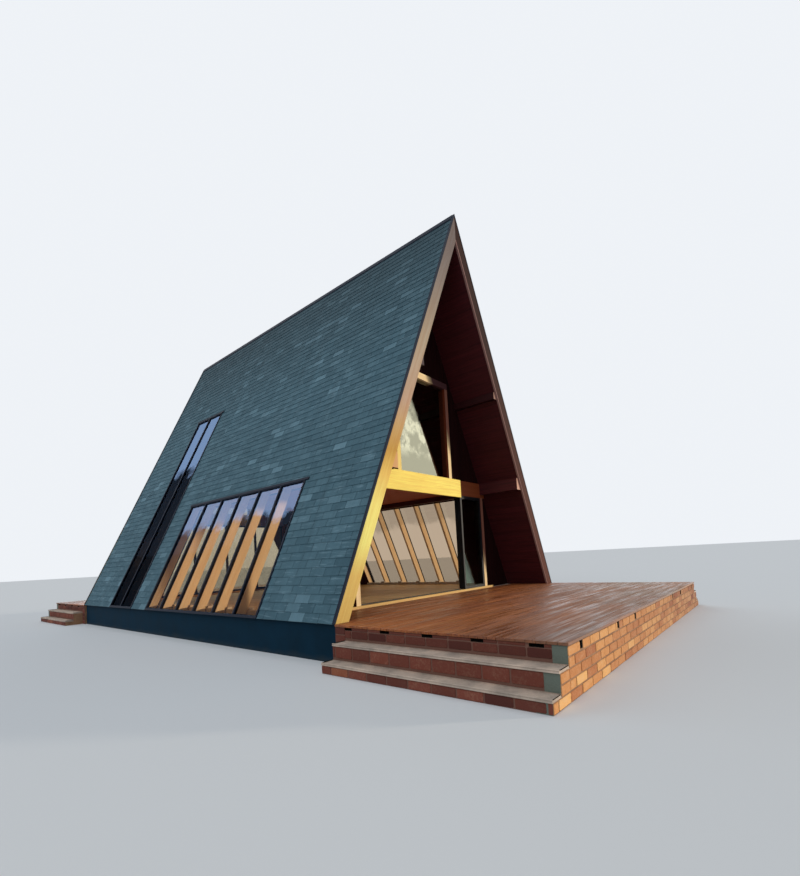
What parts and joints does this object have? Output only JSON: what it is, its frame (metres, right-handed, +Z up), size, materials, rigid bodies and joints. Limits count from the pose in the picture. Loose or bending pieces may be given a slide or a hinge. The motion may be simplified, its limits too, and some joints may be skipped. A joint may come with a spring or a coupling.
{
  "type": "a-frame cabin",
  "caption": "Steep a-frame cabin on a painted plinth, shingled to the ground, with sloping side windows, a glazed recessed gable, a sliding door and a brick-based timber deck at each end.",
  "frame": {"origin": "centre of the footprint at the foot of the walls", "axes": "+Z up, ridge along Y, the open front gable with the sliding door faces -Y"},
  "size_m": [8.33, 16.5, 8.3932],
  "materials": {
    "navy_paint": "matt navy masonry paint",
    "mortar": "grey cement mortar",
    "brick": "rough terracotta brick",
    "floor_wood": "varnished boards",
    "deck_wood": "varnished red-brown boards",
    "dark_wood": "rough sawn boards",
    "lining_wood": "dark red-brown stain",
    "rafter_wood": "planed golden pine",
    "barge_wood": "golden varnish",
    "gable_wood": "golden varnish",
    "kerb_paint": "pale paint",
    "shingle": "blue-grey mineral shingle",
    "navy_metal": "satin dark navy",
    "door_metal": "satin black",
    "window_glass": "clear",
    "door_glass": "clear"
  },
  "bodies": {
    "cabin": {"plinth_walls": "navy_paint", "gable_foundations": "mortar", "ground_slab": "mortar", "floor_boards": "floor_wood", "front_deck_walls": "brick", "rear_deck_walls": "brick", "front_deck_boards": "deck_wood", "rear_deck_boards": "deck_wood", "deck_joists": "dark_wood", "step_bases": "brick", "step_treads": "mortar", "shingles_right": "shingle", "shingles_left": "shingle", "roof_deck_right": "dark_wood", "roof_deck_left": "dark_wood", "lining_right": "lining_wood", "lining_left": "lining_wood", "rafters_right": "rafter_wood", "rafters_left": "rafter_wood", "window_headers": "rafter_wood", "window_kerbs": "kerb_paint", "large_window_frames": "navy_metal", "large_window_glass": "window_glass", "narrow_window_frames": "navy_metal", "narrow_window_glass": "window_glass", "ridge_beam": "rafter_wood", "ridge_cap": "navy_metal", "barge_boards": "barge_wood", "rake_flashings": "navy_metal", "loft_edge_beams": "lining_wood", "upper_purlins": "lining_wood", "loft_floor": "lining_wood", "gable_sills": "gable_wood", "gable_beams": "gable_wood", "gable_posts": "gable_wood", "upper_lintels": "gable_wood", "gable_lower_panels": "lining_wood", "gable_upper_panels": "lining_wood", "upper_gable_glass": "window_glass", "rear_glazing_frame": "door_metal", "rear_glazing_glass": "window_glass", "door_head": "door_metal", "door_tracks": "door_metal", "fixed_leaf_frame": "door_metal", "fixed_leaf_glass": "door_glass"},
    "sliding_leaf_1": {"sliding_leaf_1_frame": "door_metal", "sliding_leaf_1_glass": "door_glass"},
    "sliding_leaf_2": {"sliding_leaf_2_frame": "door_metal", "sliding_leaf_2_glass": "door_glass"},
    "sliding_leaf_3": {"sliding_leaf_3_frame": "door_metal", "sliding_leaf_3_glass": "door_glass"},
    "sliding_leaf_4": {"sliding_leaf_4_frame": "door_metal", "sliding_leaf_4_glass": "door_glass"}
  },
  "joints": [
    {"name": "leaf_1_slide", "type": "slide", "parent": "cabin", "child": "sliding_leaf_1", "axis": [-1, 0, 0], "range_m": [0, 0.859]},
    {"name": "leaf_2_slide", "type": "slide", "parent": "cabin", "child": "sliding_leaf_2", "axis": [-1, 0, 0], "range_m": [0, 1.718]},
    {"name": "leaf_3_slide", "type": "slide", "parent": "cabin", "child": "sliding_leaf_3", "axis": [-1, 0, 0], "range_m": [0, 2.577]},
    {"name": "leaf_4_slide", "type": "slide", "parent": "cabin", "child": "sliding_leaf_4", "axis": [-1, 0, 0], "range_m": [0, 3.436]}
  ]
}
